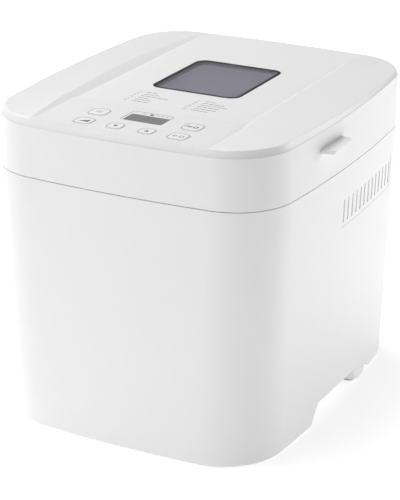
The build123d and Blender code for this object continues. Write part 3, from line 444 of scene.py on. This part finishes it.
bm = bmesh.new()
for edge_x, first, bar_counts in LISTS:
    for row, bars in enumerate(bar_counts):
        y = LIST_TOP_Y - row * LIST_PITCH
        digits(bm, str(first + row), edge_x, y, DIGIT_SIZE)
        for step in range(bars):
            flat_plate(bm, edge_x + BARS_START + step * (BAR_LENGTH + BAR_GAP), y, BAR_LENGTH, BAR_THICK)
lay_film("lid_lists", bm, "lid", FLAT_Z, grey_ink_and_gap_shade)


# Keys. White caps moulded like the fascia, each standing a hair proud of it on a stem over its switch.
# Every cap has one plain sign printed on top, and a grey line round its edge that is painted shade for the gap
# round the cap.
GAP_SHADE_INSET = 0.35
GAP_SHADE_LINE = 0.45
GAP_SHADE_RADIUS = 4.4
ARROW_RADIUS = 2.5
ARROW_OFFSET = 0.4
key_white = moulded("key_white", (0.806, 0.806, 0.811), (0.812, 0.812, 0.816), patch=120,
                    roughness=(0.34, 0.38), pit=2400, height=0.00001)
coat(key_white, "menu_key", "loaf_key", "minus_key", "plus_key", "crust_key", "start_key")
pale_ink = moulded("pale_ink", (0.300, 0.300, 0.306), (0.340, 0.340, 0.346), patch=500,
                   roughness=(0.50, 0.62), pit=2400, height=0.00001)


def corner_sign(bm, x, y, radius, turn, sides=3, line=0.0):
    """Flat shape with equal sides, such as a triangle that points back, turned by an angle."""
    place = Matrix.Translation((x * MM, y * MM, 0.0)) @ Matrix.Rotation(radians(turn), 4, "Z")
    made = bmesh.ops.create_circle(bm, cap_ends=True, segments=sides, radius=radius * MM, matrix=place)
    if line:
        outline_only(bm, made["verts"][0].link_faces[0], line)


def menu_sign(bm, x, y):
    """Three level lines, one behind the other."""
    pitch = 1.8
    length = 5.6
    thick = 0.6
    for row in (-1, 0, 1):
        flat_plate(bm, x, y + row * pitch, length, thick)


def loaf_sign(bm, x, y):
    """Four upright bars that grow in steps, on one line."""
    first_x = x - 2.0
    foot_y = y - 2.7
    pitch = 1.9
    width = 1.6
    lowest = 1.4
    rise = 1.3
    for step in range(4):
        height = lowest + rise * step
        flat_plate(bm, first_x + pitch * step, foot_y + height / 2, width, height)


def minus_sign(bm, x, y):
    """Triangle that points to the front."""
    corner_sign(bm, x, y + ARROW_OFFSET, ARROW_RADIUS, 180)


def plus_sign(bm, x, y):
    """Triangle that points to the back."""
    corner_sign(bm, x, y - ARROW_OFFSET, ARROW_RADIUS, 0)


def crust_sign(bm, x, y):
    """Three upright bars beside a thick ring."""
    first_x = x - 4.8
    pitch = 1.6
    width = 0.8
    height = 3.6
    for step in range(3):
        flat_plate(bm, first_x + pitch * step, y, width, height)
    ring_x = x + 2.6
    ring_radius = 2.4
    corner_sign(bm, ring_x, y, ring_radius, 0, sides=24, line=1.0)


def start_sign(bm, x, y):
    """Outlines of a triangle that points right and of a square."""
    line = 0.5
    arrow_x = x - 3.0
    arrow_radius = 2.4
    corner_sign(bm, arrow_x, y, arrow_radius, -90, line=line)
    square_x = x + 2.6
    square_side = 3.8
    flat_plate(bm, square_x, y, square_side, square_side, line=line)


SIGNS = {"menu": (menu_sign, pale_ink), "loaf": (loaf_sign, dark_ink), "minus": (minus_sign, dark_ink),
         "plus": (plus_sign, dark_ink), "crust": (crust_sign, dark_ink), "start": (start_sign, grey_ink_and_gap_shade)}
for key, (draw_sign, film_material) in SIGNS.items():
    (x, y), (size_x, size_y), top = top_face(key + "_key")
    rim = bmesh.new()
    # The grey line round each cap is painted shade for the gap round the cap, not a print.
    flat_plate(rim, x, y, size_x - 2 * GAP_SHADE_INSET, size_y - 2 * GAP_SHADE_INSET, GAP_SHADE_RADIUS, GAP_SHADE_LINE)
    lay_film(key + "_painted_gap_shade", rim, key + "_button", top, grey_ink_and_gap_shade)
    sign = bmesh.new()
    draw_sign(sign, x, y)
    lay_film(key + "_sign", sign, key + "_button", top, film_material)


# Floor. A plain white light table under the machine, out to the horizon.
# A faint glow from below keeps it white and lifts the foot of the casing.
FLOOR_HALF = 6.0
floor_paper, tree, shader = bare_material("floor_paper", Emission_Color=(1.0, 1.0, 1.0, 1.0),
                                          Emission_Strength=0.45)
fibre = grain(tree, 40, 2.0)
wire_up(tree, shader, tint(tree, fibre, (0.92, 0.92, 0.92), (0.94, 0.94, 0.94)),
        between(tree, fibre, 0.80, 0.90))
bm = bmesh.new()
bmesh.ops.create_grid(bm, x_segments=4, y_segments=4, size=FLOOR_HALF)
floor_mesh = bpy.data.meshes.new("floor")
bm.to_mesh(floor_mesh)
bm.free()
floor_mesh.materials.append(floor_paper)
floor = bpy.data.objects.new("floor", floor_mesh)
bpy.context.scene.collection.objects.link(floor)


# Light. A pale room with two large soft boxes high at the left, which make the top and the left wing bright.
# A weak one at the left front and two behind the right side light the walls, and leave the front corner darker.
MIDDLE = (0.0, 0.0, 0.15)
ROOM_STRENGTH = 0.21


def soft_box(name, at, size, power):
    """Square area lamp turned towards the middle of the machine."""
    lamp = bpy.data.lights.new(name, "AREA")
    lamp.shape = "SQUARE"
    lamp.size = size
    lamp.energy = power
    holder = bpy.data.objects.new(name, lamp)
    holder.location = at
    holder.rotation_euler = (Vector(MIDDLE) - Vector(at)).to_track_quat("-Z", "Y").to_euler()
    bpy.context.scene.collection.objects.link(holder)


soft_box("high_left_box", at=(-0.68, -0.27, 2.20), size=1.4, power=31.5)
soft_box("left_rear_box", at=(-1.09, 0.63, 1.95), size=1.4, power=16.5)
soft_box("left_front_box", at=(-0.90, -1.95, 0.62), size=1.1, power=8.2)
soft_box("right_box", at=(1.98, 0.93, 0.58), size=1.0, power=6.8)
soft_box("right_rear_box", at=(1.41, 1.68, 0.58), size=1.0, power=10.6)
world = bpy.data.worlds.new("studio")
bpy.context.scene.world = world
world.use_nodes = True
background = world.node_tree.nodes["Background"]
background.inputs["Color"].default_value = (1.0, 1.0, 1.0, 1.0)
background.inputs["Strength"].default_value = ROOM_STRENGTH


# Camera. The photograph's view: a long lens from the right front and above.
# Its place was found from the edges of the casing.
FRAME_HEIGHT_PX = 500
FOCAL_PX = 1761.3
CAMERA_AZIMUTH = radians(27.18)
CAMERA_ELEVATION = radians(21.85)
CAMERA_ROLL = radians(0.371)
CAMERA_DISTANCE = 1.5434
CAMERA_TARGET = Vector((-0.00472, 0.0, 0.1201))
lens = bpy.data.cameras.new("photo_camera")
lens.sensor_fit = "VERTICAL"
lens.sensor_height = 36.0
lens.lens = lens.sensor_height * FOCAL_PX / FRAME_HEIGHT_PX
camera = bpy.data.objects.new("photo_camera", lens)
turn = Quaternion((0, 0, 1), CAMERA_AZIMUTH) @ Quaternion((1, 0, 0), radians(90) - CAMERA_ELEVATION)
turn = turn @ Quaternion((0, 0, 1), CAMERA_ROLL)
step_back = Matrix.Translation((0.0, 0.0, CAMERA_DISTANCE))
camera.matrix_world = Matrix.Translation(CAMERA_TARGET) @ turn.to_matrix().to_4x4() @ step_back
bpy.context.scene.collection.objects.link(camera)
bpy.context.scene.camera = camera
bpy.context.scene.view_settings.view_transform = "Standard"
